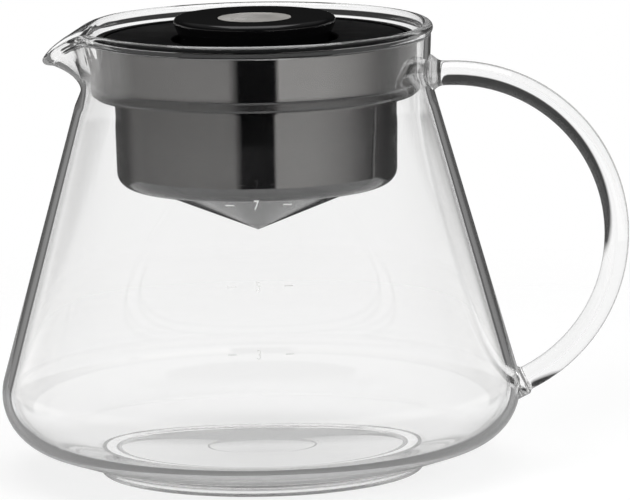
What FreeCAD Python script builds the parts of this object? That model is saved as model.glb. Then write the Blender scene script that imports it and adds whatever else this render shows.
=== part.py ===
import FreeCAD, Part
import math
import os

import Sketcher

# Glass coffee carafe with a drip insert: a black filter drum that hangs in the neck, holds the ground
# coffee and lets the brew out through a valve at the tip of its cone when the knob in its lid is pressed.
# +Z is up. The origin is the centre of the ring that the carafe stands on. The spout points to -X and the
# handle to +X. All sizes are millimetres, and all heights are above the table.

DIMENSIONS = [
    # the blown glass, measured on its outside
    ("carafe_height", 128.0),
    ("foot_radius", 46.1),
    ("foot_height", 2.2),
    ("foot_ring_width", 4.6),
    ("foot_round", 0.7),
    ("floor_underside", 2.0),
    ("floor_thickness", 3.2),
    ("pontil_radius", 15.4),
    ("pontil_depth", 0.8),
    ("wall", 3.0),
    ("heel_radius", 77.45),
    ("heel_height", 12.7),
    ("heel_round", 16.0),
    ("floor_round", 10.0),
    ("neck_radius", 49.4),
    ("neck_drop", 15.0),
    ("neck_round", 12.0),
    ("neck_wall", 2.6),
    ("rim_flare", 1.2),
    ("rim_wall", 2.8),
    ("rim_round", 1.3),
    ("seam_height", 32.0),
    # the spout's cross-sections: how far each stands out past the rim, its half width, its drop below the rim
    ("throat_overhang", -7.6),
    ("throat_half_width", 16.0),
    ("throat_drop", 19.5),
    ("waist_overhang", -0.6),
    ("waist_half_width", 8.8),
    ("waist_drop", 15.2),
    ("beak_overhang", 4.4),
    ("beak_half_width", 5.6),
    ("beak_drop", 11.0),
    ("tip_overhang", 9.7),
    ("tip_half_width", 3.4),
    ("tip_drop", 9.5),
    ("spout_wall", 2.0),
    # the line along which the spout's lip falls from the rim
    ("lip_start_overhang", -4.1),
    ("lip_bend_overhang", 4.9),
    ("lip_bend_drop", 3.0),
    ("lip_round", 15.0),
    ("lip_end_overhang", 11.4),
    ("lip_end_drop", 10.5),
    # the glass handle
    ("rod_radius", 3.5),
    ("loop_radius", 46.5),
    ("loop_end_angle", 63.7),
    ("handle_top_gap", 3.6),
    ("handle_end_gap", 2.14),
    ("upper_weld_radius", 5.8),
    ("upper_weld_length", 7.0),
    ("lower_weld_radius", 4.3),
    ("lower_weld_length", 7.0),
    # the insert's shell
    ("insert_drop", 5.0),
    ("collar_height", 16.4),
    ("collar_gap", 0.8),
    ("collar_wall", 2.1),
    ("collar_round", 0.6),
    ("drum_step", 5.7),
    ("drum_draft", 0.5),
    ("drum_depth", 26.0),
    ("drum_round", 4.5),
    ("shell", 2.0),
    ("drum_floor", 2.2),
    ("gasket_height", 3.2),
    ("gasket_flange", 0.6),
    ("gasket_depth", 2.0),
    ("gasket_gap", 0.1),
    ("basket_ledge", 4.3),
    ("lid_ledge_depth", 2.5),
    # the cone under the drum and the outlet in its tip
    ("cone_inset", 8.6),
    ("cone_drop", 13.3),
    ("cone_wall", 1.9),
    ("cone_flange_width", 3.2),
    ("cone_flange_height", 1.6),
    ("cone_gasket_thickness", 0.8),
    ("outlet_radius", 3.4),
    ("outlet_boss_radius", 8.6),
    ("outlet_boss_height", 5.5),
    ("seat_radius", 5.9),
    ("seat_height", 3.5),
    ("hub_radius", 3.3),
    ("hub_height", 10.3),
    ("hub_thickness", 2.5),
    ("hub_rib_thickness", 1.4),
    # the filter basket
    ("basket_wall", 0.9),
    ("basket_gap", 0.5),
    ("basket_floor", 1.6),
    ("basket_lift", 0.1),
    ("basket_flange_thickness", 1.6),
    ("basket_flange_gap", 0.4),
    ("tube_radius", 3.2),
    ("tube_wall", 1.6),
    ("tube_drop", 3.3),
    ("mesh_thickness", 0.4),
    ("wall_window_width", 22.0),
    ("wall_window_margin", 2.6),
    ("floor_window_inner", 7.0),
    ("floor_window_margin", 4.8),
    ("floor_window_angle", 21.0),
    # the lid
    ("lid_thickness", 2.2),
    ("lid_gap", 0.3),
    ("lid_round", 0.5),
    ("lid_skirt_drop", 6.3),
    ("lid_skirt_wall", 1.8),
    ("lid_skirt_inset", 2.3),
    ("lid_gasket_height", 1.8),
    ("lid_gasket_depth", 0.8),
    ("lid_gasket_bulge", 0.7),
    ("well_radius", 23.6),
    ("well_depth", 7.1),
    ("well_wall", 1.8),
    ("boss_radius", 5.2),
    ("boss_rise", 2.0),
    ("boss_drop", 1.0),
    # the knob
    ("knob_overhang", 0.3),
    ("knob_rise", 6.3),
    ("knob_round", 1.5),
    ("knob_waist_gap", 2.4),
    ("knob_skirt_drop", 3.3),
    ("knob_wall", 1.9),
    ("knob_top", 2.8),
    ("knob_dish", 0.5),
    ("knob_hub_radius", 4.6),
    ("knob_hub_drop", 5.2),
    ("cap_radius", 10.4),
    ("cap_thickness", 1.2),
    ("cap_gap", 0.2),
    ("screw_radius", 1.2),
    ("screw_head_radius", 2.6),
    ("screw_head_height", 1.3),
    ("screw_depth", 6.5),
    ("push_rod_radius", 2.5),
    # the valve
    ("stem_radius", 1.5),
    ("stem_gap", 0.3),
    ("valve_gap", 0.3),
    ("valve_seal_thickness", 0.7),
    ("washer_radius", 3.9),
    ("washer_thickness", 0.7),
    ("clip_radius", 3.0),
    ("clip_thickness", 0.4),
    ("clip_groove", 0.4),
    ("clip_slot", 1.6),
    # the springs and the slack of sliding parts
    ("valve_spring_radius", 2.8),
    ("valve_spring_wire", 0.3),
    ("valve_spring_height", 6.0),
    ("knob_spring_radius", 7.0),
    ("knob_spring_wire", 0.4),
    ("spring_turns", 5.0),
    ("slide_gap", 0.1),
]

INNER_HEEL_ACROSS = 1.22  # the inner heel corner lies this many walls further in than the outer one
INNER_HEEL_UP = 0.646  # and this many walls higher
ABOVE_THE_RIM = 6.0  # how far the cutting outlines stand above the glass
TROUGH_ROUNDNESS = 0.8  # corner radius of the spout's trough, as a share of its half width
LIP_ROUNDNESS = 0.4  # corner radius of the neck gasket, as a share of its depth
SOCKET_SHARE = 0.8  # the screw's socket radius, as a share of its shank radius
RIB_BITE = 1.2  # how deep a rib runs into the wall that carries it
WALL_WINDOWS = 5
FLOOR_WINDOWS = 6
HUB_RIBS = 3

doc = FreeCAD.newDocument("ColdBrewCarafe")


class Size:
    """A number and the sheet expression that gives it, kept together through arithmetic."""

    def __init__(self, value, text):
        self.value = float(value)
        self.text = text

    def __add__(self, other):
        other = as_size(other)
        return Size(self.value + other.value, f"({self.text} + {other.text})")

    def __radd__(self, other):
        return as_size(other) + self

    def __sub__(self, other):
        other = as_size(other)
        return Size(self.value - other.value, f"({self.text} - {other.text})")

    def __rsub__(self, other):
        return as_size(other) - self

    def __mul__(self, other):
        other = as_size(other)
        return Size(self.value * other.value, f"({self.text} * {other.text})")

    def __rmul__(self, other):
        return as_size(other) * self

    def __truediv__(self, other):
        other = as_size(other)
        return Size(self.value / other.value, f"({self.text} / {other.text})")

    def __neg__(self):
        return Size(-self.value, f"(0 - {self.text})")


def as_size(number):
    """Plain numbers become sizes that follow no cell."""
    if isinstance(number, Size):
        return number
    return Size(number, repr(float(number)))


def cosine(angle):
    return Size(math.cos(math.radians(angle.value)), f"cos({angle.text} * 1 deg)")


def sine(angle):
    return Size(math.sin(math.radians(angle.value)), f"sin({angle.text} * 1 deg)")


def write_sheet():
    """Puts the driving dimensions in a spreadsheet and returns them by name."""
    sheet = doc.addObject("Spreadsheet::Sheet", "Dimensions")
    sizes = {}
    for row, (name, value) in enumerate(DIMENSIONS, start=1):
        sheet.set(f"A{row}", name.replace("_", " "))
        sheet.set(f"B{row}", str(value))
        sheet.setAlias(f"B{row}", name)
        sizes[name] = Size(value, f"Dimensions.{name}")
    doc.recompute()
    return sizes


def bind(thing, path, size):
    thing.setExpression(path, as_size(size).text)


# ---------------------------------------------------------------- sketches and features


def origin_feature(body, role):
    for feature in body.Origin.OriginFeatures:
        if feature.Role == role:
            return feature
    raise ValueError(role)


def new_body(label, seat=None):
    """A body whose own zero height is at its seat."""
    body = doc.addObject("PartDesign::Body", label)
    body.Label = label
    if seat is not None:
        body.Placement.Base.z = seat.value
        bind(body, ".Placement.Base.z", seat)
    return body


def new_sketch(body, role, offset=None):
    sketch = body.newObject("Sketcher::SketchObject", body.Label + "_sketch")
    sketch.AttachmentSupport = (origin_feature(body, role), [""])
    sketch.MapMode = "FlatFace"
    if offset is not None:
        sketch.AttachmentOffset.Base.z = offset.value
        bind(sketch, ".AttachmentOffset.Base.z", offset)
    return sketch


def fix_point(sketch, geometry, place, x, y):
    """Holds a point at a distance from the sketch's origin along both axes."""
    for kind, size, axis in (("DistanceX", as_size(x), -2), ("DistanceY", as_size(y), -1)):
        if size.text == "0.0":
            sketch.addConstraint(Sketcher.Constraint("PointOnObject", geometry, place, axis))
            continue
        number = sketch.addConstraint(Sketcher.Constraint(kind, -1, 1, geometry, place, size.value))
        bind(sketch, f"Constraints[{number}]", size)


def fix_radius(sketch, geometry, radius):
    number = sketch.addConstraint(Sketcher.Constraint("Radius", geometry, radius.value))
    bind(sketch, f"Constraints[{number}]", radius)


def corner_arc(before, corner, after, radius):
    """The points where a rounded corner leaves its two sides, and the middle of its arc."""
    back = (before - corner).normalize()
    ahead = (after - corner).normalize()
    half = back.getAngle(ahead) / 2
    reach = radius / math.tan(half)
    inward = (back + ahead).normalize()
    middle = corner + inward * (radius / math.sin(half) - radius)
    return corner + back * reach, middle, corner + ahead * reach


def draw_outline(sketch, corners):
    """Draws a closed ring of straight sides; a third number in a corner rounds it."""
    count = len(corners)
    points = [FreeCAD.Vector(as_size(c[0]).value, as_size(c[1]).value, 0) for c in corners]
    arrive = list(points)
    leave = list(points)
    middle = [None] * count
    for i, corner in enumerate(corners):
        if len(corner) == 3:
            after = points[(i + 1) % count]
            radius = as_size(corner[2]).value
            arrive[i], middle[i], leave[i] = corner_arc(points[i - 1], points[i], after, radius)
    sides = []
    for i in range(count):
        side = Part.LineSegment(leave[i], arrive[(i + 1) % count])
        sides.append(sketch.addGeometry(side, False))
    for i, corner in enumerate(corners):
        before = sides[i - 1]
        after = sides[i]
        if middle[i] is None:
            sketch.addConstraint(Sketcher.Constraint("Coincident", before, 2, after, 1))
            fix_point(sketch, after, 1, corner[0], corner[1])
            continue
        turn = (arrive[i] - points[i - 1]).cross(leave[i] - arrive[i]).z
        arc = sketch.addGeometry(Part.Arc(arrive[i], middle[i], leave[i]), False)
        first, last = (1, 2) if turn > 0 else (2, 1)
        mark = sketch.addGeometry(Part.Point(points[i]), True)
        sketch.addConstraint(Sketcher.Constraint("Tangent", before, 2, arc, first))
        sketch.addConstraint(Sketcher.Constraint("Tangent", arc, last, after, 1))
        sketch.addConstraint(Sketcher.Constraint("PointOnObject", mark, 1, before))
        sketch.addConstraint(Sketcher.Constraint("PointOnObject", mark, 1, after))
        fix_point(sketch, mark, 1, corner[0], corner[1])
        fix_radius(sketch, arc, as_size(corner[2]))


def revolve(body, kind, corners, seat=None):
    """Turns an outline of radius and height once about the body's own axis."""
    if seat is not None:
        corners = [(c[0], c[1] - seat, *c[2:]) for c in corners]
    sketch = new_sketch(body, "XZ_Plane")
    draw_outline(sketch, corners)
    feature = body.newObject(f"PartDesign::{kind}", f"{body.Label}_{kind}")
    feature.Profile = sketch
    feature.ReferenceAxis = (sketch, ["V_Axis"])
    feature.Angle = 360
    return feature


def turned(label, seat, corners):
    """A piece of round section, given by heights above the table and seated at one of them."""
    body = new_body(label, seat)
    revolve(body, "Revolution", corners, seat)
    return body


def ring(label, inner, outer, bottom, top, rounding=None):
    """A plain ring, its outer edges rounded where a radius is given."""
    edge = () if rounding is None else (rounding,)
    corners = [(inner, bottom), (outer, bottom, *edge), (outer, top, *edge), (inner, top)]
    return turned(label, bottom, corners)


def cut_through(body, sketch, length, reverse):
    pocket = body.newObject("PartDesign::Pocket", body.Label + "_pocket")
    pocket.Profile = sketch
    pocket.Length = length.value
    bind(pocket, "Length", length)
    pocket.Reversed = reverse
    return pocket


def repeat_round(body, feature, count):
    """Repeats a feature evenly about the body's axis."""
    pattern = body.newObject("PartDesign::PolarPattern", body.Label + "_pattern")
    pattern.Originals = [feature]
    pattern.Axis = (origin_feature(body, "Z_Axis"), [""])
    pattern.Angle = 360
    pattern.Occurrences = count
    body.Tip = pattern
    return pattern


def cut_away(label, thing, tool):
    cut = doc.addObject("Part::Cut", label)
    cut.Label = label
    cut.Base = thing
    cut.Tool = tool
    return cut


def spring(label, bottom, top):
    """A helical spring whose end turns lie on its two seats, swept one turn at a time."""
    coil = doc.addObject("Part::Helix", label + "_line")
    section = doc.addObject("Part::Circle", label + "_section")
    sweep = doc.addObject("Part::Sweep", label)
    sweep.Label = label
    radius = size[label + "_radius"]
    wire = size[label + "_wire"]
    rise = top - bottom - 2 * wire
    bind(coil, "Radius", radius)
    bind(coil, "Height", rise)
    bind(coil, "Pitch", rise / size["spring_turns"])
    coil.SegmentLength = 1
    bind(section, "Radius", wire)
    section.Placement.Rotation = FreeCAD.Rotation(FreeCAD.Vector(1, 0, 0), 90)
    bind(section, ".Placement.Base.x", radius)
    sweep.Sections = [section]
    sweep.Spine = (coil, [])
    sweep.Solid = True
    sweep.Frenet = True
    bind(sweep, ".Placement.Base.z", bottom + wire)
    return sweep


# ---------------------------------------------------------------- the glass


def outer_glass(body):
    """The outside of the carafe as a filled round form: foot, belly, straight cone, neck and rim."""
    ring_radius = size["foot_radius"] - size["foot_ring_width"]
    underside = size["floor_underside"]
    pontil = underside + size["pontil_depth"]
    corners = [
        (0, pontil),
        (size["pontil_radius"], pontil),
        (size["pontil_radius"], underside),
        (ring_radius, underside),
        (ring_radius, 0, size["foot_round"]),
        (size["foot_radius"], 0, size["foot_round"]),
        (size["foot_radius"], size["foot_height"]),
        (size["heel_radius"], size["heel_height"], size["heel_round"]),
        (size["neck_radius"], neck_height, size["neck_round"]),
        (rim_radius, size["carafe_height"], size["rim_round"]),
        (0, size["carafe_height"]),
    ]
    revolve(body, "Revolution", corners)


def hollow_glass(body):
    """Takes the inside out of the filled form and rounds the inner edge of the rim."""
    wall = size["wall"]
    top = size["carafe_height"]
    above = top + ABOVE_THE_RIM
    inner_heel_radius = size["heel_radius"] - INNER_HEEL_ACROSS * wall
    inner_heel_height = size["heel_height"] + INNER_HEEL_UP * wall
    corners = [
        (0, floor_top),
        (size["foot_radius"], floor_top, size["floor_round"]),
        (inner_heel_radius, inner_heel_height, size["heel_round"] - wall),
        (neck_inner, neck_height, size["neck_round"] + size["neck_wall"]),
        (rim_radius - size["rim_wall"], top, size["rim_round"]),
        (rim_radius + wall, top),
        (rim_radius + wall, above),
        (0, above),
    ]
    revolve(body, "Groove", corners)


def spout_loft(body, kind, inset, extra_reach):
    """Lofts the beak through its four sections, each a trough with an open top."""
    sections = []
    top = size["carafe_height"] + ABOVE_THE_RIM
    for name in ("throat", "waist", "beak", "tip"):
        reach = rim_radius + size[name + "_overhang"]
        if name == "tip":
            reach = reach + extra_reach
        half = size[name + "_half_width"] - inset
        bottom = size["carafe_height"] - size[name + "_drop"] + inset
        sketch = new_sketch(body, "YZ_Plane", -reach)
        rounding = TROUGH_ROUNDNESS * half
        corners = [(half, top), (-half, top), (-half, bottom, rounding), (half, bottom, rounding)]
        draw_outline(sketch, corners)
        sections.append(sketch)
    loft = body.newObject(f"PartDesign::{kind}", f"{body.Label}_{kind}")
    loft.Profile = sections[0]
    loft.Sections = sections[1:]
    return loft


def trim_lip(body):
    """Cuts the spout's lip down from the rim to the tip."""
    sketch = new_sketch(body, "XZ_Plane")
    rim = size["carafe_height"]
    above = rim + 2 * ABOVE_THE_RIM
    start = -(rim_radius + size["lip_start_overhang"])
    bend = -(rim_radius + size["lip_bend_overhang"])
    end = -(rim_radius + size["lip_end_overhang"])
    corners = [
        (start, above),
        (end, above),
        (end, rim - size["lip_end_drop"]),
        (bend, rim - size["lip_bend_drop"], size["lip_round"]),
        (start, rim),
    ]
    draw_outline(sketch, corners)
    pocket = cut_through(body, sketch, 2 * rim_radius, False)
    pocket.Midplane = True


def whole_glass():
    """The blown glass in one form, which carafe_base and carafe_wall then share out."""
    body = new_body("whole_glass")
    outer_glass(body)
    spout_loft(body, "AdditiveLoft", 0 * size["spout_wall"], 0 * size["spout_wall"])
    hollow_glass(body)
    spout_loft(body, "SubtractiveLoft", size["spout_wall"], size["spout_wall"])
    trim_lip(body)
    return body


def seam_block():
    """A block that takes in all of the glass below the seam between base and wall."""
    block = doc.addObject("Part::Cylinder", "below_the_seam")
    bind(block, "Radius", size["heel_radius"])
    bind(block, "Height", size["seam_height"])
    return block


def carafe_base(glass, block):
    """Foot, floor and heel."""
    common = doc.addObject("Part::Common", "carafe_base")
    common.Label = "carafe_base"
    common.Base = glass
    common.Tool = block
    return common


def carafe_wall(glass, block):
    """Cone, neck, rim and spout."""
    return cut_away("carafe_wall", glass, block)


def carafe_handle():
    """A glass rod that leaves the neck level and loops round to the belly."""
    body = new_body("carafe_handle")
    path = new_sketch(body, "XZ_Plane")
    centre = FreeCAD.Vector(loop_reach.value, loop_height.value, 0)
    start = FreeCAD.Vector(handle_top_reach.value, neck_height.value, 0)
    crest = FreeCAD.Vector(centre.x, start.y, 0)
    circle = Part.Circle(centre, FreeCAD.Vector(0, 0, 1), size["loop_radius"].value)
    end_angle = -math.radians(size["loop_end_angle"].value)
    line = path.addGeometry(Part.LineSegment(start, crest), False)
    loop = path.addGeometry(Part.ArcOfCircle(circle, end_angle, math.pi / 2), False)
    path.addConstraint(Sketcher.Constraint("Tangent", line, 2, loop, 2))
    path.addConstraint(Sketcher.Constraint("Horizontal", line))
    number = path.addConstraint(Sketcher.Constraint("DistanceX", -1, 1, line, 1, start.x))
    bind(path, f"Constraints[{number}]", handle_top_reach)
    fix_point(path, loop, 3, loop_reach, loop_height)
    fix_radius(path, loop, size["loop_radius"])
    number = path.addConstraint(Sketcher.Constraint("DistanceX", -1, 1, loop, 1, loop_end_reach.value))
    bind(path, f"Constraints[{number}]", loop_end_reach)

    section = new_sketch(body, "YZ_Plane", handle_top_reach)
    rod = Part.Circle(FreeCAD.Vector(0, start.y, 0), FreeCAD.Vector(0, 0, 1), size["rod_radius"].value)
    edge = section.addGeometry(rod, False)
    fix_point(section, edge, 3, 0, neck_height)
    fix_radius(section, edge, size["rod_radius"])

    pipe = body.newObject("PartDesign::AdditivePipe", "carafe_handle_pipe")
    pipe.Profile = section
    pipe.Spine = (path, [])
    return body


def handle_upper_weld(form):
    """A gather of glass between the neck and the rod, cut to the neck that it is welded to."""
    pad = doc.addObject("Part::Cone", "upper_weld_pad")
    length = size["upper_weld_length"]
    bind(pad, "Radius1", size["upper_weld_radius"])
    bind(pad, "Radius2", size["rod_radius"])
    bind(pad, "Height", length)
    pad.Placement.Rotation = FreeCAD.Rotation(FreeCAD.Vector(0, 1, 0), 90)
    bind(pad, ".Placement.Base.x", handle_top_reach - length)
    bind(pad, ".Placement.Base.z", neck_height)
    return cut_away("handle_upper_weld", pad, form)


def handle_lower_weld(form):
    """A disc of glass between the rod's lower end and the heel, cut to the heel."""
    pad = doc.addObject("Part::Cylinder", "lower_weld_pad")
    bind(pad, "Radius", size["lower_weld_radius"])
    bind(pad, "Height", size["lower_weld_length"])
    pad.Placement.Rotation = FreeCAD.Rotation(FreeCAD.Vector(0, 1, 0), 180)
    bind(pad, ".Placement.Rotation.Angle", 180 + size["loop_end_angle"])
    bind(pad, ".Placement.Base.x", loop_end_reach)
    bind(pad, ".Placement.Base.z", loop_end_height)
    return cut_away("handle_lower_weld", pad, form)


# ---------------------------------------------------------------- the insert


def drip_housing():
    """Collar and drum in one shell, with ledges for the lid and the basket and a ring for a floor."""
    base = drum_radius - size["drum_draft"]
    bore = base - size["shell"]
    groove = gasket_radius - size["gasket_depth"] - size["gasket_gap"]
    flange = groove + size["gasket_depth"] / 2
    corners = [
        (cone_hole, drum_bottom),
        (base, drum_bottom, size["drum_round"]),
        (drum_radius, collar_bottom),
        (flange, collar_bottom),
        (flange, gasket_bottom),
        (groove, gasket_bottom),
        (groove, gasket_top),
        (collar_radius, gasket_top),
        (collar_radius, collar_top, size["collar_round"]),
        (lid_bore, collar_top),
        (lid_bore, lid_ledge),
        (collar_bore, lid_ledge),
        (collar_bore, basket_ledge),
        (drum_bore, basket_ledge),
        (bore, drum_floor_top, size["drum_round"] - size["shell"]),
        (cone_hole, drum_floor_top),
    ]
    return turned("drip_housing", drum_bottom, corners)


def neck_gasket():
    inner = gasket_radius - size["gasket_depth"] - size["gasket_gap"]
    rounding = LIP_ROUNDNESS * size["gasket_depth"]
    return ring("neck_gasket", inner, gasket_radius, gasket_bottom, gasket_top, rounding)


def drip_cone():
    """Conical bottom: flange, cone wall, outlet with a seat under it, and a spider that guides the stem."""
    slope = size["cone_drop"] / cone_radius
    flange = cone_radius + size["cone_flange_width"]
    mouth = cone_radius - size["cone_wall"] - size["slide_gap"]
    boss_top = cone_tip + size["outlet_boss_height"]
    seat_edge = cone_tip + slope * size["seat_radius"]
    inside = cone_tip + size["cone_wall"]
    corners = [
        (size["seat_radius"], seat_edge),
        (cone_radius, drum_bottom),
        (cone_radius, cone_flange_bottom),
        (flange, cone_flange_bottom),
        (flange, cone_flange_top),
        (mouth, cone_flange_top),
        (mouth, inside + slope * mouth),
        (size["outlet_boss_radius"], inside + slope * size["outlet_boss_radius"]),
        (size["outlet_boss_radius"] - size["cone_wall"] / 2, boss_top),
        (size["outlet_radius"], boss_top),
        (size["outlet_radius"], valve_seat),
        (size["seat_radius"], valve_seat),
    ]
    body = turned("drip_cone", cone_tip, corners)

    rib_bottom = hub_top - size["hub_thickness"]
    reach_low = (rib_bottom - inside) / slope + RIB_BITE
    reach_high = (hub_top - inside) / slope + RIB_BITE
    rib = new_sketch(body, "XZ_Plane")
    corners = [
        (size["stem_radius"], rib_bottom - cone_tip),
        (reach_low, rib_bottom - cone_tip),
        (reach_high, hub_top - cone_tip),
        (size["stem_radius"], hub_top - cone_tip),
    ]
    draw_outline(rib, corners)
    pad = body.newObject("PartDesign::Pad", "drip_cone_rib")
    pad.Profile = rib
    pad.Length = size["hub_rib_thickness"].value
    bind(pad, "Length", size["hub_rib_thickness"])
    pad.Midplane = True
    doc.recompute()
    repeat_round(body, pad, HUB_RIBS)

    guide = size["stem_radius"] + size["slide_gap"]
    hub = [
        (0, rib_bottom),
        (size["hub_radius"], rib_bottom),
        (size["hub_radius"], hub_top),
        (0, hub_top),
    ]
    revolve(body, "Revolution", hub, cone_tip)
    bore = [
        (0, rib_bottom - size["cone_wall"]),
        (guide, rib_bottom - size["cone_wall"]),
        (guide, hub_top + size["cone_wall"]),
        (0, hub_top + size["cone_wall"]),
    ]
    body.Tip = revolve(body, "Groove", bore, cone_tip)
    return body


def cone_gasket():
    inner = cone_radius + size["slide_gap"]
    outer = cone_radius + size["cone_flange_width"]
    return ring("cone_gasket", inner, outer, drum_floor_top, cone_flange_bottom)


# ---------------------------------------------------------------- the filter basket


def filter_frame():
    """An annular cup with a hanging flange and a centre tube, windowed all round and in its floor."""
    tube_outer = size["tube_radius"] + size["tube_wall"]
    tube_top = basket_ledge - size["tube_drop"]
    floor_top = basket_bottom + size["basket_floor"]
    flange_top = basket_ledge + size["basket_flange_thickness"]
    inner = basket_radius - size["basket_wall"]
    corners = [
        (size["tube_radius"], basket_bottom),
        (basket_radius, basket_bottom),
        (basket_radius, basket_ledge),
        (collar_bore - size["basket_flange_gap"], basket_ledge),
        (collar_bore - size["basket_flange_gap"], flange_top),
        (inner, flange_top),
        (inner, floor_top),
        (tube_outer, floor_top),
        (tube_outer, tube_top),
        (size["tube_radius"], tube_top),
    ]
    body = turned("filter_frame", basket_bottom, corners)

    margin = size["wall_window_margin"]
    half = size["wall_window_width"] / 2
    window = new_sketch(body, "YZ_Plane", basket_radius / 2)
    low = floor_top + margin - basket_bottom
    high = basket_ledge - margin - basket_bottom
    draw_outline(window, [(half, low), (half, high), (-half, high), (-half, low)])
    doc.recompute()
    side = cut_through(body, window, basket_radius, True)
    doc.recompute()
    repeat_round(body, side, WALL_WINDOWS)

    inside = size["floor_window_inner"]
    outside = basket_radius - size["floor_window_margin"]
    along = cosine(size["floor_window_angle"])
    aside = sine(size["floor_window_angle"])
    opening = new_sketch(body, "XY_Plane")
    corners = [
        (inside * along, -inside * aside),
        (outside * along, -outside * aside),
        (outside * along, outside * aside),
        (inside * along, inside * aside),
    ]
    draw_outline(opening, corners)
    doc.recompute()
    bottom = cut_through(body, opening, size["basket_floor"], True)
    doc.recompute()
    repeat_round(body, bottom, FLOOR_WINDOWS)
    return body


def filter_sleeve():
    outer = basket_radius - size["basket_wall"]
    bottom = basket_bottom + size["basket_floor"]
    return ring("filter_sleeve", outer - size["mesh_thickness"], outer, bottom, basket_ledge)


def filter_floor():
    inner = size["tube_radius"] + size["tube_wall"]
    outer = basket_radius - size["basket_wall"] - size["mesh_thickness"]
    bottom = basket_bottom + size["basket_floor"]
    return ring("filter_floor", inner, outer, bottom, bottom + size["mesh_thickness"])


# ---------------------------------------------------------------- the lid


def lid_plate():
    """Flat disc with a well for the knob, a bored boss in the well and a skirt with a gasket groove."""
    edge = lid_bore - size["lid_gap"]
    underside = lid_ledge
    skirt = collar_bore - size["lid_skirt_inset"] + size["lid_gasket_depth"]
    skirt_inner = skirt - size["lid_skirt_wall"]
    skirt_bottom = underside - size["lid_skirt_drop"]
    groove = skirt - size["lid_gasket_depth"]
    well_outer = size["well_radius"] + size["well_wall"]
    well_bottom = well_floor - size["well_wall"]
    bore = size["push_rod_radius"] + size["slide_gap"]
    corners = [
        (bore, boss_bottom),
        (size["boss_radius"], boss_bottom),
        (size["boss_radius"], well_bottom),
        (well_outer, well_bottom, size["well_wall"]),
        (well_outer, underside),
        (skirt_inner, underside),
        (skirt_inner, skirt_bottom),
        (skirt, skirt_bottom),
        (skirt, lid_gasket_bottom),
        (groove, lid_gasket_bottom),
        (groove, lid_gasket_bottom + size["lid_gasket_height"]),
        (skirt, lid_gasket_bottom + size["lid_gasket_height"]),
        (skirt, underside),
        (edge, underside),
        (edge, lid_top, size["lid_round"]),
        (size["well_radius"], lid_top, size["lid_round"]),
        (size["well_radius"], well_floor),
        (size["boss_radius"], well_floor),
        (size["boss_radius"], boss_top),
        (bore, boss_top),
    ]
    return turned("lid_plate", lid_ledge, corners)


def lid_gasket():
    outer = collar_bore - size["lid_gap"]
    inner = collar_bore - size["lid_skirt_inset"]
    top = lid_gasket_bottom + size["lid_gasket_height"]
    return ring("lid_gasket", inner, outer, lid_gasket_bottom, top, size["lid_gasket_bulge"])


def knob():
    """Wide mushroom knob: dished top with a seat for its cap, a skirt that enters the well, a hub."""
    underside = knob_top - size["knob_top"]
    cap_seat = knob_top - size["knob_dish"] - size["cap_thickness"]
    cap_edge = size["cap_radius"] + size["cap_gap"]
    skirt_bottom = lid_top - size["knob_skirt_drop"]
    hub_bottom = underside - size["knob_hub_drop"]
    hub_radius = size["push_rod_radius"] + size["slide_gap"] / 2
    head = size["screw_head_radius"] + size["cap_gap"]
    screw_hole = size["screw_radius"] + size["slide_gap"] / 2
    corners = [
        (screw_hole, push_rod_top),
        (hub_radius, push_rod_top),
        (hub_radius, hub_bottom),
        (size["knob_hub_radius"], hub_bottom),
        (size["knob_hub_radius"], underside),
        (knob_waist - size["knob_wall"], underside),
        (knob_waist - size["knob_wall"], skirt_bottom),
        (knob_waist, skirt_bottom),
        (knob_waist, lid_top),
        (size["well_radius"] + size["knob_overhang"], knob_top, size["knob_round"]),
        (cap_edge, knob_top - size["knob_dish"]),
        (cap_edge, cap_seat),
        (head, cap_seat),
        (head, screw_seat),
        (screw_hole, screw_seat),
    ]
    return turned("knob", skirt_bottom, corners)


def knob_cap():
    bottom = knob_top - size["knob_dish"] - size["cap_thickness"]
    return ring("knob_cap", 0, size["cap_radius"], bottom, bottom + size["cap_thickness"])


def knob_screw():
    head_top = screw_seat + size["screw_head_height"]
    bottom = push_rod_top - size["screw_depth"]
    socket = SOCKET_SHARE * size["screw_radius"]
    corners = [
        (0, bottom),
        (size["screw_radius"], bottom),
        (size["screw_radius"], screw_seat),
        (size["screw_head_radius"], screw_seat),
        (size["screw_head_radius"], head_top, size["screw_head_height"] / 4),
        (socket, head_top),
        (socket, screw_seat + size["screw_head_height"] / 3),
        (0, screw_seat + size["screw_head_height"] / 3),
    ]
    return turned("knob_screw", bottom, corners)


def push_rod():
    """Rod from the knob to just above the valve stem, threaded for the screw and grooved for its clip."""
    radius = size["push_rod_radius"]
    groove = radius - size["clip_groove"]
    hole = size["screw_radius"] + size["slide_gap"] / 2
    hole_bottom = push_rod_top - size["screw_depth"] - size["slide_gap"]
    corners = [
        (0, push_rod_bottom),
        (radius, push_rod_bottom, radius / 4),
        (radius, rod_clip_bottom),
        (groove, rod_clip_bottom),
        (groove, boss_bottom),
        (radius, boss_bottom),
        (radius, push_rod_top),
        (hole, push_rod_top),
        (hole, hole_bottom),
        (0, hole_bottom),
    ]
    return turned("push_rod", push_rod_bottom, corners)


def clip(label, shaft, bottom):
    """A spring clip: a flat ring with a slot as wide as it needs to snap onto its groove."""
    inner = shaft - size["clip_groove"]
    outer = shaft + size["clip_radius"] - size["stem_radius"]
    body = ring(label, inner, outer, bottom, bottom + size["clip_thickness"])
    slot = new_sketch(body, "XY_Plane")
    half = size["clip_slot"] / 2
    end = outer + size["clip_slot"]
    draw_outline(slot, [(0, half), (0, -half), (end, -half), (end, half)])
    doc.recompute()
    body.Tip = cut_through(body, slot, size["clip_thickness"], True)
    return body


# ---------------------------------------------------------------- the valve


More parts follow.
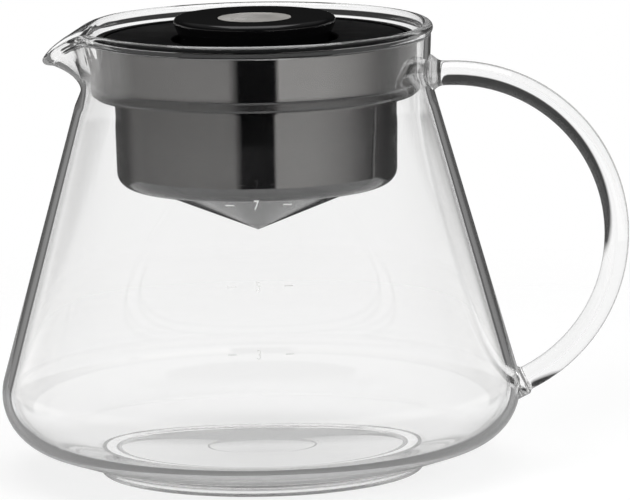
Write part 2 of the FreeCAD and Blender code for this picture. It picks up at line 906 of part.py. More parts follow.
def valve_stem():
    """Poppet whose head finishes the cone's tip, with a stem up to the push rod."""
    slope = size["cone_drop"] / cone_radius
    head = size["seat_radius"] - size["valve_gap"]
    head_top = valve_seat - size["valve_seal_thickness"]
    radius = size["stem_radius"]
    groove = radius - size["clip_groove"]
    corners = [
        (0, cone_tip),
        (head, cone_tip + slope * head),
        (head, head_top),
        (radius, head_top),
        (radius, stem_clip_bottom),
        (groove, stem_clip_bottom),
        (groove, stem_clip_bottom + size["clip_thickness"]),
        (radius, stem_clip_bottom + size["clip_thickness"]),
        (radius, stem_top, radius / 4),
        (0, stem_top),
    ]
    return turned("valve_stem", cone_tip, corners)


def valve_seal():
    outer = size["seat_radius"] - size["valve_gap"]
    bottom = valve_seat - size["valve_seal_thickness"]
    return ring("valve_seal", size["stem_radius"], outer, bottom, valve_seat)


def spring_washer():
    inner = size["stem_radius"] + size["slide_gap"] / 2
    return ring("spring_washer", inner, size["washer_radius"], washer_bottom, stem_clip_bottom)


# ---------------------------------------------------------------- places shared by several pieces

size = write_sheet()

floor_top = size["floor_underside"] + size["floor_thickness"]
neck_height = size["carafe_height"] - size["neck_drop"]
rim_radius = size["neck_radius"] + size["rim_flare"]
neck_inner = size["neck_radius"] - size["neck_wall"]

wall_slope = (size["heel_radius"] - size["neck_radius"]) / (neck_height - size["heel_height"])
loop_height = neck_height - size["loop_radius"]
loop_end_height = loop_height - size["loop_radius"] * sine(size["loop_end_angle"])
wall_beside_the_end = size["heel_radius"] - wall_slope * (loop_end_height - size["heel_height"])
loop_end_reach = wall_beside_the_end + size["handle_end_gap"]
loop_reach = loop_end_reach - size["loop_radius"] * cosine(size["loop_end_angle"])
handle_top_reach = size["neck_radius"] + size["handle_top_gap"]

collar_bottom = neck_height - size["insert_drop"]
collar_top = collar_bottom + size["collar_height"]
collar_radius = neck_inner - size["collar_gap"]
gasket_radius = neck_inner - size["gasket_gap"]
gasket_bottom = collar_bottom + size["gasket_flange"]
gasket_top = gasket_bottom + size["gasket_height"]
basket_ledge = collar_bottom + size["basket_ledge"]
drum_radius = collar_radius - size["drum_step"]
drum_bottom = collar_bottom - size["drum_depth"]
drum_floor_top = drum_bottom + size["drum_floor"]
drum_bore = drum_radius - size["shell"]
lid_ledge = collar_top - size["lid_ledge_depth"]
lid_bore = collar_radius - size["collar_wall"] - size["lid_gap"]
collar_bore = lid_bore - size["shell"]

cone_radius = drum_radius - size["cone_inset"]
cone_tip = drum_bottom - size["cone_drop"]
cone_hole = cone_radius + size["slide_gap"]
cone_flange_bottom = drum_floor_top + size["cone_gasket_thickness"]
cone_flange_top = cone_flange_bottom + size["cone_flange_height"]
valve_seat = cone_tip + size["seat_height"]
hub_top = cone_tip + size["hub_height"]
washer_bottom = hub_top + size["valve_spring_height"]
stem_clip_bottom = washer_bottom + size["washer_thickness"]
stem_top = stem_clip_bottom + size["clip_thickness"] + size["stem_radius"]

basket_bottom = cone_flange_top + size["basket_lift"]
basket_radius = drum_bore - size["drum_draft"] - size["basket_gap"]

lid_top = lid_ledge + size["lid_thickness"]
lid_gasket_bottom = lid_ledge - size["lid_skirt_drop"] + size["lid_gasket_height"]
well_floor = lid_top - size["well_depth"]
boss_top = well_floor + size["boss_rise"]
boss_bottom = well_floor - size["well_wall"] - size["boss_drop"]
knob_waist = size["well_radius"] - size["knob_waist_gap"]
knob_top = lid_top + size["knob_rise"]
knob_underside = knob_top - size["knob_top"]
screw_seat = knob_top - size["knob_dish"] - size["cap_thickness"] - size["screw_head_height"]
push_rod_top = screw_seat - size["knob_wall"] / 2
push_rod_bottom = stem_top + size["stem_gap"]
rod_clip_bottom = boss_bottom - size["clip_thickness"]


def build():
    """Makes every piece and returns them."""
    form = new_body("glass_form")
    outer_glass(form)
    glass = whole_glass()
    block = seam_block()
    pieces = [
        carafe_base(glass, block),
        carafe_wall(glass, block),
        carafe_handle(),
        handle_upper_weld(form),
        handle_lower_weld(form),
        drip_housing(),
        neck_gasket(),
        drip_cone(),
        cone_gasket(),
        filter_frame(),
        filter_sleeve(),
        filter_floor(),
        lid_plate(),
        lid_gasket(),
        knob(),
        knob_cap(),
        knob_screw(),
        push_rod(),
        clip("rod_clip", size["push_rod_radius"], rod_clip_bottom),
        spring("knob_spring", well_floor, knob_underside),
        valve_stem(),
        valve_seal(),
        spring("valve_spring", hub_top, washer_bottom),
        spring_washer(),
        clip("stem_clip", size["stem_radius"], stem_clip_bottom),
    ]
    doc.recompute()
    return pieces


def check(pieces):
    """Stops if any object of the document failed or a piece is not one sound solid."""
    faults = []
    for thing in doc.Objects:
        if "Invalid" in thing.State or "Error" in thing.State:
            faults.append(f"{thing.Label}: {thing.State}")
    for piece in pieces:
        shape = piece.Shape
        if shape.isNull() or not shape.isValid() or len(shape.Solids) != 1:
            faults.append(f"{piece.Label}: not one valid solid")
    if faults:
        raise RuntimeError("\n".join(faults))


def write(pieces):
    os.makedirs("parts", exist_ok=True)
    for piece in pieces:
        piece.Shape.exportStep(f"parts/{piece.Label}.step")


pieces = build()
check(pieces)
write(pieces)
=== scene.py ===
import math

import bmesh
import bpy
import numpy as np
from mathutils import Matrix, Vector


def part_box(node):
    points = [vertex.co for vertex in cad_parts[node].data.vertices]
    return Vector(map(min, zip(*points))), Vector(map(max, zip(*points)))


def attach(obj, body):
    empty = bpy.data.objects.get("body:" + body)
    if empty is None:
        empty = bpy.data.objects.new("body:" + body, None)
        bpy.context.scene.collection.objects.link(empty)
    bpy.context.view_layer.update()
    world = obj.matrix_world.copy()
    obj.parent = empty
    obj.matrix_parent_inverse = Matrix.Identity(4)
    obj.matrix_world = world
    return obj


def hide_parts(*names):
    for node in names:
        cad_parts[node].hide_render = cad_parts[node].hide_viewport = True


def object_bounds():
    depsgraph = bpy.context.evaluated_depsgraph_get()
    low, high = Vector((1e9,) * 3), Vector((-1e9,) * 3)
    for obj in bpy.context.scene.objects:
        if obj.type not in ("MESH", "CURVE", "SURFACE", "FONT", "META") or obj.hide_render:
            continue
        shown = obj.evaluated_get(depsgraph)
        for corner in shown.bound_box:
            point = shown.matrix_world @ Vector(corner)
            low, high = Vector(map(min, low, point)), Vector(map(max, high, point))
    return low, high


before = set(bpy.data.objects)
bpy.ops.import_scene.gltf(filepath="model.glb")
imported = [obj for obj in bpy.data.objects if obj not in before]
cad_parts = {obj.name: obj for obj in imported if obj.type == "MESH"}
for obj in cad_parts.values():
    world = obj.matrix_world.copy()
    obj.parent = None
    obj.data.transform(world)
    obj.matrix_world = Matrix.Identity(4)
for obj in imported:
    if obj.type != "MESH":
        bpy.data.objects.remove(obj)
cad_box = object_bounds()

# Looks of a glass carafe with a black drip insert in its neck. Sizes of the part are millimetres in its own
# frame: +Z up, the spout to -X, the handle to +X. Its meshes are turned into metres when they are made. The
# stage, the lamps and the textures are in metres.

MM = 0.001


# ---------------------------------------------------------------- meshes

MERGE_DISTANCE = 1e-7  # metres


def link_object(name, data):
    thing = bpy.data.objects.new(name, data)
    bpy.context.scene.collection.objects.link(thing)
    return thing


def evaluated_mesh(thing):
    """A new mesh of an object with its modifiers applied."""
    bpy.context.view_layer.update()
    depsgraph = bpy.context.evaluated_depsgraph_get()
    return bpy.data.meshes.new_from_object(thing.evaluated_get(depsgraph), depsgraph=depsgraph)


def piece_from(name, points, faces, body, slot=None, smooth=35.0):
    """A mesh piece from points in millimetres; edges sharper than smooth degrees stay sharp."""
    mesh = bpy.data.meshes.new(name)
    mesh.from_pydata([tuple(p * MM) for p in np.asarray(points, float)], [], faces)
    work = bmesh.new()
    work.from_mesh(mesh)
    bmesh.ops.remove_doubles(work, verts=work.verts, dist=MERGE_DISTANCE)
    bmesh.ops.recalc_face_normals(work, faces=work.faces)
    work.to_mesh(mesh)
    work.free()
    mesh.shade_smooth()
    mesh.set_sharp_from_angle(angle=math.radians(smooth))
    piece = link_object(name, mesh)
    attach(piece, body)
    return piece


def rounded(corners, step=6.0):
    """The points of an outline whose corners may carry a radius; an arc has a point every few degrees."""
    points = []
    for i, corner in enumerate(corners):
        here = np.array(corner[:2], float)
        if len(corner) < 3:
            points.append(here)
            continue
        back = np.array(corners[i - 1][:2], float) - here
        ahead = np.array(corners[i + 1][:2], float) - here
        back /= np.linalg.norm(back)
        ahead /= np.linalg.norm(ahead)
        half = math.acos(np.clip(back @ ahead, -1, 1)) / 2
        centre = here + (back + ahead) / np.linalg.norm(back + ahead) * corner[2] / math.sin(half)
        first = here + back * corner[2] / math.tan(half)
        last = here + ahead * corner[2] / math.tan(half)
        count = max(3, math.ceil(math.degrees(math.pi - 2 * half) / step))
        for t in np.linspace(0, 1, count + 1):
            spoke = (first - centre) * (1 - t) + (last - centre) * t
            points.append(centre + spoke / np.linalg.norm(spoke) * corner[2])
    return np.array(points)


def turned_points(outline, angles):
    """Turns an outline of radius and height about the axis."""
    radius = outline[:, 0][:, None]
    height = np.repeat(outline[:, 1][:, None], len(angles), 1)
    return np.stack([radius * np.cos(angles), radius * np.sin(angles), height], 2)


def smooth_curve(knots, places):
    """A Catmull-Rom curve through the knots, read at places from 0 to the last knot's number."""
    padded = np.vstack([2 * knots[0] - knots[1], knots, 2 * knots[-1] - knots[-2]])
    found = []
    for place in places:
        i = min(int(place), len(knots) - 2)
        t = place - i
        a, b, c, d = padded[i : i + 4]
        bend = (2 * a - 5 * b + 4 * c - d) * t**2 + (3 * b - a - 3 * c + d) * t**3
        found.append(0.5 * (2 * b + (c - a) * t + bend))
    return np.array(found)


def capped_tube(rows, first, last):
    """Points and faces of a tube of closed rows, with a fan to a point at both ends."""
    count, columns = rows.shape[:2]
    faces = []
    for i in range(count - 1):
        for j in range(columns):
            k = (j + 1) % columns
            faces.append((i * columns + j, i * columns + k, (i + 1) * columns + k, (i + 1) * columns + j))
    start = count * columns
    for j in range(columns):
        k = (j + 1) % columns
        faces.append((start, k, j))
        faces.append((start + 1, (count - 1) * columns + j, (count - 1) * columns + k))
    return np.vstack([rows.reshape(-1, 3), first, last]), faces


# ---------------------------------------------------------------- the vessel

# a corner of the turned outline is a radius and a height
RIM_HEIGHT = 128.0
FOOT_RADIUS = 46.1
FOOT_INNER = 41.5
FOOT_TOP = 2.2
FOOT_ROUND = 0.9
FOOT_TOP_ROUND = 0.6
UNDERSIDE = 2.0
UNDERSIDE_ROUND = 0.8
PONTIL_RADIUS = 15.4
PONTIL_SLOPE = 0.2
PONTIL_HEIGHT = 2.8
PONTIL_ROUND = 0.35
FLOOR_TOP = 5.2
FLOOR_ROUND = 10.0
HEEL = (77.45, 12.7)
HEEL_ROUND = 16.0
INNER_HEEL = (73.79, 14.64)
INNER_HEEL_ROUND = 13.0
NECK = (49.4, 113.0)
NECK_ROUND = 12.0
INNER_NECK = (46.8, 113.0)
INNER_NECK_ROUND = NECK_ROUND + 2.6
WALL_SLOPE = (HEEL[0] - NECK[0]) / (NECK[1] - HEEL[1])
RIM_OUTER = 50.6
RIM_INNER = 47.8
BEAD_RADIUS = 1.6
BEAD_ROWS = 11
LIP_LEVEL = RIM_HEIGHT - BEAD_RADIUS  # the middle of the rim's bead

NECK_START = 105.0  # the height where the neck takes over from the plain turned wall
NECK_WALL = 2.1
NECK_THINNING = 10.0  # the height over which the wall comes down to NECK_WALL
NECK_ROWS = 34
CUT_ROWS = 9  # rows that lead up to the neck

SPOUT_BEAD = 1.3
SPOUT_REACH = 36.0  # degrees to each side of the spout over which the rim gives way to it
SPOUT_MIDDLE = 14.0  # degrees over which bead and wall are thinner
SPOUT_THINNING = 0.15
SPOUT_COLUMNS = 97
RIM_COLUMNS = 145
RIM_KNOTS = (0.84, 1.0, 1.16)  # shares of SPOUT_REACH where the lip's curve lies on the round rim

# half of the spout's lip, along the middle of its bead, from the tip round to the rim
LIP = [
    (-59.1, 0.0, 118.6),
    (-58.3, 2.3, 119.6),
    (-56.6, 4.0, 121.2),
    (-54.0, 5.2, 122.9),
    (-51.6, 6.6, 124.2),
    (-49.6, 8.8, 125.3),
    (-48.2, 11.6, 126.0),
    (-47.0, 15.0, 126.35),
    (-45.2, 19.6, 126.4),
]


def straight_wall(height):
    """The outer radius of the wall between the heel and the neck."""
    return NECK[0] + WALL_SLOPE * (NECK[1] - height)


def wall_outlines():
    """The outside and the inside of the vessel as turned outlines, from the axis to the rim."""
    outer = [
        (0.0, PONTIL_HEIGHT),
        (PONTIL_RADIUS, PONTIL_HEIGHT, PONTIL_ROUND),
        (PONTIL_RADIUS + PONTIL_SLOPE, UNDERSIDE, PONTIL_ROUND),
        (FOOT_INNER, UNDERSIDE, UNDERSIDE_ROUND),
        (FOOT_INNER, 0.0, FOOT_ROUND),
        (FOOT_RADIUS, 0.0, FOOT_ROUND),
        (FOOT_RADIUS, FOOT_TOP, FOOT_TOP_ROUND),
        (*HEEL, HEEL_ROUND),
        (*NECK, NECK_ROUND),
        (RIM_OUTER, RIM_HEIGHT),
    ]
    inner = [
        (0.0, FLOOR_TOP),
        (FOOT_RADIUS, FLOOR_TOP, FLOOR_ROUND),
        (*INNER_HEEL, INNER_HEEL_ROUND),
        (*INNER_NECK, INNER_NECK_ROUND),
        (RIM_INNER, RIM_HEIGHT),
    ]
    return rounded(outer), rounded(inner)


def at_height(outline, heights):
    """The radius of an outline at heights above the heel's corner, where it only rises."""
    rising = outline[outline[:, 1] > HEEL[1]]
    return np.interp(heights, rising[:, 1], rising[:, 0])


def below_neck(outline):
    """An outline up to where the neck starts."""
    low = outline[: np.argmax(outline[:, 1] > NECK_START - 1)]
    end = (at_height(outline, NECK_START - 2), NECK_START - 2)
    return np.vstack([low, np.linspace(low[-1], end, CUT_ROWS)[1:]])


def spread_angles():
    """Angles from the spout in degrees, closer together over the spout."""
    fine = np.linspace(-SPOUT_REACH, SPOUT_REACH, SPOUT_COLUMNS)
    coarse = np.linspace(SPOUT_REACH, 360 - SPOUT_REACH, RIM_COLUMNS)[1:-1]
    return np.concatenate([fine, np.where(coarse > 180, coarse - 360, coarse)])


def round_rim(turns):
    """The middle of the rim's bead where the rim is round, at angles in degrees from the spout."""
    radius = RIM_OUTER - BEAD_RADIUS
    radians = np.radians(turns)
    level = np.full(len(radians), LIP_LEVEL)
    return np.stack([-radius * np.cos(radians), radius * np.sin(radians), level], 1)


def lip_line(turns):
    """The middle of the rim's bead with the spout drawn out of it."""
    # mirrored knots before the tip keep the curve level across the middle plane
    mirrored = [(x, -y, z) for x, y, z in LIP[:0:-1]]
    knots = np.vstack([mirrored, LIP, round_rim(SPOUT_REACH * np.array(RIM_KNOTS))])
    first = len(LIP) - 1
    last = len(knots) - 2
    near = np.abs(turns) < SPOUT_REACH
    lip = smooth_curve(knots, first + np.abs(turns[near]) / SPOUT_REACH * (last - first))
    lip[:, 1] *= np.where(turns[near] < 0, -1, 1)
    line = round_rim(turns)
    line[near] = lip
    return line


def neck_rows(outer, inner, turns, angles):
    """The neck and spout: up the outside, over the bead of the lip and down the inside."""
    climb = 1 - (1 - np.linspace(0, 1, NECK_ROWS)) ** 1.5  # closer together towards the lip
    heights = NECK_START + (LIP_LEVEL - NECK_START) * climb
    out_radius = at_height(outer, heights)
    thin = np.clip((heights - NECK_START) / NECK_THINNING, 0, 1)
    half = (out_radius - at_height(inner, heights)) / 2 * (1 - thin) + NECK_WALL / 2 * thin
    middle = out_radius - half
    half = half * np.cos(np.arctan(np.gradient(middle, heights)))

    # the middle of the wall, pulled out towards the lip the more the higher it is
    lip = lip_line(turns)
    ring = turned_points(np.stack([middle, heights], 1), angles)
    sheet = ring.copy()
    sheet[:, :, :2] += (lip[:, :2] - ring[-1, :, :2]) * climb[:, None, None] ** 4
    sheet[:, :, 2] += (lip[:, 2] - LIP_LEVEL) * climb[:, None]
    along = np.gradient(sheet, axis=0)
    across = np.roll(sheet, -1, 1) - np.roll(sheet, 1, 1)
    normal = np.cross(across, along)
    normal /= np.linalg.norm(normal, axis=2)[:, :, None]
    normal *= np.sign((normal[0] * ring[0] * (1, 1, 0)).sum(1).mean())
    rise = along[-1] / np.linalg.norm(along[-1], axis=1)[:, None]

    # half of its thickness, which swells into the bead at the lip
    at_spout = np.exp(-((np.abs(turns) / SPOUT_MIDDLE) ** 2))
    bead = BEAD_RADIUS + (SPOUT_BEAD - BEAD_RADIUS) * at_spout
    below_lip = (1 - climb) * (LIP_LEVEL - NECK_START)
    wall = half[:, None] * (1 - SPOUT_THINNING * climb[:, None] * at_spout)
    swell = np.sqrt(np.clip(bead**2 - below_lip[:, None] ** 2, 0, None))
    thickness = (wall**6 + swell**6) ** (1 / 6)
    thickness[-1] = bead
    outside = sheet + normal * thickness[:, :, None]
    inside = sheet - normal * thickness[:, :, None]
    over = [
        sheet[-1] + bead[:, None] * (normal[-1] * math.cos(t) + rise * math.sin(t))
        for t in np.linspace(0, math.pi, BEAD_ROWS)[1:-1]
    ]
    return np.concatenate([outside, over, inside[::-1]])


def vessel_rows():
    """The skin of the vessel from the middle of its underside over the lip to the middle of its floor."""
    outer, inner = wall_outlines()
    turns = spread_angles()
    angles = math.pi - np.radians(turns)
    underside = turned_points(below_neck(outer)[1:], angles)
    hollow = turned_points(below_neck(inner)[:0:-1], angles)
    return np.concatenate([underside, neck_rows(outer, inner, turns, angles), hollow])


# ---------------------------------------------------------------- the handle

ROD_RADIUS = 3.5
ROD_COLUMNS = 40
ROD_STEP = 2.5  # degrees
LOOP_RADIUS = 46.5
LOOP_CENTRE = (55.6, 66.5)
LOOP_END = -63.7  # degrees from level, where the loop comes down to the heel

# the gathers of glass that join the rod to the wall: how far they stand out and over what length
NECK_GATHER = 1.9
NECK_GATHER_LENGTH = 1.9
NECK_GATHER_MIDDLE = NECK[0] + 0.2
NECK_GATHER_ENDS = (NECK[0] - 1.0, NECK[0] + 3.4)
ROD_LEVEL_FROM = 53.4
HEEL_GATHER = 0.9
HEEL_GATHER_START = 1.0
HEEL_GATHER_LENGTH = 0.18
HEEL_REACH = 3.6  # how far the rod runs on past the loop's end
NECK_GATHER_RINGS = 12
HEEL_GATHER_RINGS = 16
END_TRIES = 24  # tries in which an end is moved onto the middle of the wall
END_STEP = 0.7  # how much of the miss one try takes away

STRAIGHT_FROM = 34.0  # the height from which the wall is straight
HEEL_WIDEST = (73.85, 23.5)
HALF_WALL = 1.5


def wall_middle_radius(height):
    """Half way through the glass at a height, on the handle's side."""
    if height > NECK[1]:
        return (NECK[0] + INNER_NECK[0]) / 2
    if height > STRAIGHT_FROM:
        return straight_wall(height) - HALF_WALL
    widest, level = HEEL_WIDEST
    return widest - (height - level) ** 2 / (2 * HEEL_ROUND) - HALF_WALL


def on_loop(angle):
    """A place on the loop at an angle in degrees from level, and the way that the rod runs there."""
    a = math.radians(angle)
    cx, cz = LOOP_CENTRE
    return (cx + LOOP_RADIUS * math.cos(a), cz + LOOP_RADIUS * math.sin(a)), (math.sin(a), -math.cos(a))


def rod_path():
    """Places of the rod's rings in the middle plane, the way they face and their radius."""
    cx, cz = LOOP_CENTRE
    path = []
    near_neck = np.linspace(*NECK_GATHER_ENDS, NECK_GATHER_RINGS)
    for x in [*near_neck, *np.linspace(ROD_LEVEL_FROM, cx, 3)[:-1]]:
        swell = NECK_GATHER * math.exp(-(((x - NECK_GATHER_MIDDLE) / NECK_GATHER_LENGTH) ** 2))
        path.append(((x, cz + LOOP_RADIUS), (1.0, 0.0), ROD_RADIUS + swell))
    path += [(*on_loop(angle), ROD_RADIUS) for angle in np.arange(90.0, LOOP_END, -ROD_STEP)]
    (x, z), way = on_loop(LOOP_END)
    for s in np.linspace(0.0, HEEL_REACH, HEEL_GATHER_RINGS):
        swell = HEEL_GATHER / (1 + math.exp(-(s - HEEL_GATHER_START) / HEEL_GATHER_LENGTH))
        path.append(((x + way[0] * s, z + way[1] * s), way, ROD_RADIUS + swell))
    return path


def handle_rings():
    """The rod's rings from the neck round to the heel; both ends lie half way through the wall."""
    path = rod_path()
    turns = np.linspace(0, 2 * math.pi, ROD_COLUMNS, endpoint=False)
    rings = np.array([
        [(x + dz * r * math.cos(t), r * math.sin(t), z - dx * r * math.cos(t)) for t in turns]
        for (x, z), (dx, dz), r in path
    ])
    for end in (0, -1):
        dx, dz = path[end][1]
        for p in rings[end]:
            for _ in range(END_TRIES):
                step = END_STEP * (wall_middle_radius(p[2]) - math.hypot(p[0], p[1]))
                p[0] += step
                p[2] += step * dz / dx
    return rings


def glass_carafe():
    """The whole carafe in one mesh, the handle united with the body."""
    skin = capped_tube(vessel_rows(), (0, 0, PONTIL_HEIGHT), (0, 0, FLOOR_TOP))
    body = piece_from("glass_carafe", *skin, "carafe", "glass", smooth=50.0)
    rings = handle_rings()
    skin = capped_tube(rings, rings[0].mean(0), rings[-1].mean(0))
    handle = piece_from("glass_handle_tool", *skin, "carafe", "glass")
    union = body.modifiers.new("handle", "BOOLEAN")
    union.operation = "UNION"
    union.solver = "EXACT"
    union.object = handle
    joined = evaluated_mesh(body)
    joined.name = "glass_carafe"
    body.modifiers.clear()
    body.data = joined
    low, high = cad_box
    for vertex in joined.vertices:
        vertex.co = [min(max(c, a), b) for c, a, b in zip(vertex.co, low, high)]
    bpy.data.objects.remove(handle)
    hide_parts("carafe_base", "carafe_wall", "carafe_handle", "handle_upper_weld", "handle_lower_weld")
    return body


# ---------------------------------------------------------------- the scale's marks

MARKS = (("7", 84.7), ("5", 62.8), ("3", 44.5))
FIGURE_HEIGHT = 2.7
FIGURE_WIDTH = FIGURE_HEIGHT * 0.82  # of a figure as wide as it is high
DASHES = ((-8.6, -6.2), (7.4, 9.8))
DASH_THICKNESS = 0.28
INK_THICKNESS = 0.05


def figure_outline(text):
    """The flat faces of a figure, one unit high, about the middle of its height and width."""
    curve = bpy.data.curves.new("figure", "FONT")
    curve.body = text
    thing = link_object("figure", curve)
    mesh = evaluated_mesh(thing)
    flat = np.array([v.co[:2] for v in mesh.vertices])
    faces = [tuple(p.vertices) for p in mesh.polygons]
    bpy.data.objects.remove(thing)
    bpy.data.meshes.remove(mesh)
    low, high = flat.min(0), flat.max(0)
    return (flat - (low + high) / 2) / (high[1] - low[1]), faces


def scale_marks():
    """Plain figures and dashes, printed on the front of the glass."""
    lean = 1 / math.hypot(1, WALL_SLOPE)
    half = DASH_THICKNESS / 2
    dashes = [
        (np.array([(low, -half), (high, -half), (high, half), (low, half)]), [(0, 1, 2, 3)])
        for low, high in DASHES
    ]
    points, faces = [], []
    for text, height in MARKS:
        flat, flat_faces = figure_outline(text)
        for spots, part_faces in [(flat * (FIGURE_WIDTH, FIGURE_HEIGHT), flat_faces)] + dashes:
            start = len(points)
            for x, y in spots:
                z = height + y * lean
                radius = straight_wall(z) + INK_THICKNESS
                turn = x / radius
                points.append((radius * math.sin(turn), -radius * math.cos(turn), z))
            faces += [tuple(start + k for k in face) for face in part_faces]
    return piece_from("scale_marks", points, faces, "carafe")


# ---------------------------------------------------------------- nodes


def new_material(name):
    material = bpy.data.materials.new(name)
    material.use_nodes = True
    tree = material.node_tree
    return material, tree, tree.nodes["Principled BSDF"]


def feed(tree, socket, value):
    """Sets a socket to a number, a grey level or a colour, or links it to another socket."""
    if isinstance(value, bpy.types.NodeSocket):
        tree.links.new(value, socket)
    elif socket.type == "RGBA":
        socket.default_value = (*(value if isinstance(value, tuple) else (value,) * 3), 1)
    else:
        socket.default_value = value


def add_math(tree, operation, *values):
    """A math node; each value is a socket or a number."""
    node = tree.nodes.new("ShaderNodeMath")
    node.operation = operation
    for socket, value in zip(node.inputs, values):
        feed(tree, socket, value)
    return node.outputs[0]


def add_mix(tree, share, first, second):
    """A colour mix; first and second are each a socket or a grey level."""
    node = tree.nodes.new("ShaderNodeMix")
    node.data_type = "RGBA"
    for name, value in (("Factor", share), ("A", first), ("B", second)):
        feed(tree, node.inputs[name], value)
    return node.outputs["Result"]


def add_ramp(tree, source, stops):
    """Levels along a value; stops are pairs of place and grey level or colour."""
    node = tree.nodes.new("ShaderNodeValToRGB")
    elements = node.color_ramp.elements
    while len(elements) < len(stops):
        elements.new(0.5)
    for element, (place, level) in zip(elements, stops):
        element.position = place
        element.color = (*(level if isinstance(level, tuple) else (level,) * 3), 1)
    feed(tree, node.inputs["Fac"], source)
    return node.outputs["Color"]


def add_range(tree, source, start, end, low=0.0, high=1.0):
    """low up to start and high from end on."""
    node = tree.nodes.new("ShaderNodeMapRange")
    settings = {"From Min": start, "From Max": end, "To Min": low, "To Max": high, "Value": source}
    for name, value in settings.items():
        feed(tree, node.inputs[name], value)
    return node.outputs["Result"]


def add_place(tree, kind):
    """X, Y and Z of a place on the object, or of a ray's direction where kind is Generated in a world."""
    place = tree.nodes.new("ShaderNodeTexCoord")
    apart = tree.nodes.new("ShaderNodeSeparateXYZ")
    feed(tree, apart.inputs[0], place.outputs[kind])
    return tuple(apart.outputs)


def add_noise(tree, scale, detail=3.0, stretch=(1, 1, 1)):
    place = tree.nodes.new("ShaderNodeTexCoord")
    spread = tree.nodes.new("ShaderNodeMapping")
    feed(tree, spread.inputs["Scale"], stretch)
    feed(tree, spread.inputs["Vector"], place.outputs["Object"])
    noise = tree.nodes.new("ShaderNodeTexNoise")
    feed(tree, noise.inputs["Scale"], scale)
    feed(tree, noise.inputs["Detail"], detail)
    feed(tree, noise.inputs["Vector"], spread.outputs["Vector"])
    return noise.outputs["Fac"]


def add_bump(tree, shader, height, strength, distance):
    bump = tree.nodes.new("ShaderNodeBump")
    feed(tree, bump.inputs["Strength"], strength)
    feed(tree, bump.inputs["Distance"], distance)
    feed(tree, bump.inputs["Height"], height)
    feed(tree, shader.inputs["Normal"], bump.outputs["Normal"])


def vary(tree, noise, socket, low, high):
    feed(tree, socket, add_range(tree, noise, 0.3, 0.7, low, high))


def vary_colour(tree, noise, socket, dark, pale):
    feed(tree, socket, add_ramp(tree, noise, ((0.35, dark), (0.65, pale))))


def add_clear(tree, colour=1.0):
    """A shader that lets rays pass as they are, tinted with a colour."""
    node = tree.nodes.new("ShaderNodeBsdfTransparent")
    feed(tree, node.inputs["Color"], colour)
    return node.outputs[0]


def add_blend(tree, share, first, second):
    """A mix of two shaders."""
    node = tree.nodes.new("ShaderNodeMixShader")
    for socket, value in zip(node.inputs, (share, first, second)):
        feed(tree, socket, value)
    return node.outputs[0]


def show(tree, shader):
    """Makes a shader the one that a material shows."""
    feed(tree, tree.nodes["Material Output"].inputs["Surface"], shader)


# ---------------------------------------------------------------- materials

CAUGHT = 2.5  # turns inside the glass after which a ray is let go
CAUGHT_SHARE = 0.3  # how much of the light behind the object such a ray finds
GRAIN_SCALE = 900.0  # of the bump on a satin face
SWELL_SCALE = 60.0  # of the bump on a polished face
WIRE_PITCH = 0.0007
SLEEVE_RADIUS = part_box("filter_sleeve")[1].x


def clear_glass():
    """Clear blown glass that lets the lamps' light through to what it holds."""
    material, tree, shader = new_material("clear_glass")
    feed(tree, shader.inputs["Base Color"], (0.986, 0.986, 0.985))
    feed(tree, shader.inputs["Transmission Weight"], 1.0)
    feed(tree, shader.inputs["IOR"], 1.47)
    noise = add_noise(tree, 24.0, 1.0)
    vary(tree, noise, shader.inputs["Roughness"], 0.0, 0.012)
    add_bump(tree, shader, noise, 0.06, 0.0006)
    path = tree.nodes.new("ShaderNodeLightPath")
    clear = add_clear(tree, (0.975, 0.977, 0.975))
    lit = add_blend(tree, path.outputs["Is Shadow Ray"], shader.outputs[0], clear)
    # a ray caught in the thick base leaves it after its third turn
    caught = add_math(tree, "GREATER_THAN", path.outputs["Glossy Depth"], CAUGHT)
    show(tree, add_blend(tree, caught, lit, add_clear(tree)))
    return material


def plastic(name, roughness, level, colour, grain=0.0, ior=1.5):
    """Moulded plastic or rubber; grain is the strength of a satin face's fine bump."""
    material, tree, shader = new_material(name)
    feed(tree, shader.inputs["IOR"], ior)
    feed(tree, shader.inputs["Specular IOR Level"], level)
    noise = add_noise(tree, 60.0, 4.0)
    vary(tree, noise, shader.inputs["Roughness"], roughness * 0.85, roughness * 1.2)
    vary_colour(tree, noise, shader.inputs["Base Color"], colour, tuple(c * 1.35 for c in colour))
    fine = add_noise(tree, GRAIN_SCALE if grain else SWELL_SCALE, 2.0)
    add_bump(tree, shader, fine, grain if grain else 0.012, 0.0001)
    return material


def steel(name, roughness=0.22):
    """Bright stainless steel, drawn along Z."""
    material, tree, shader = new_material(name)
    feed(tree, shader.inputs["Metallic"], 1.0)
    noise = add_noise(tree, 300.0, 3.0, (1, 1, 6))
    vary(tree, noise, shader.inputs["Roughness"], roughness * 0.8, roughness * 1.4)
    vary_colour(tree, noise, shader.inputs["Base Color"], (0.55, 0.55, 0.54), (0.66, 0.655, 0.64))
    add_bump(tree, shader, noise, 0.05, 0.00005)
    return material


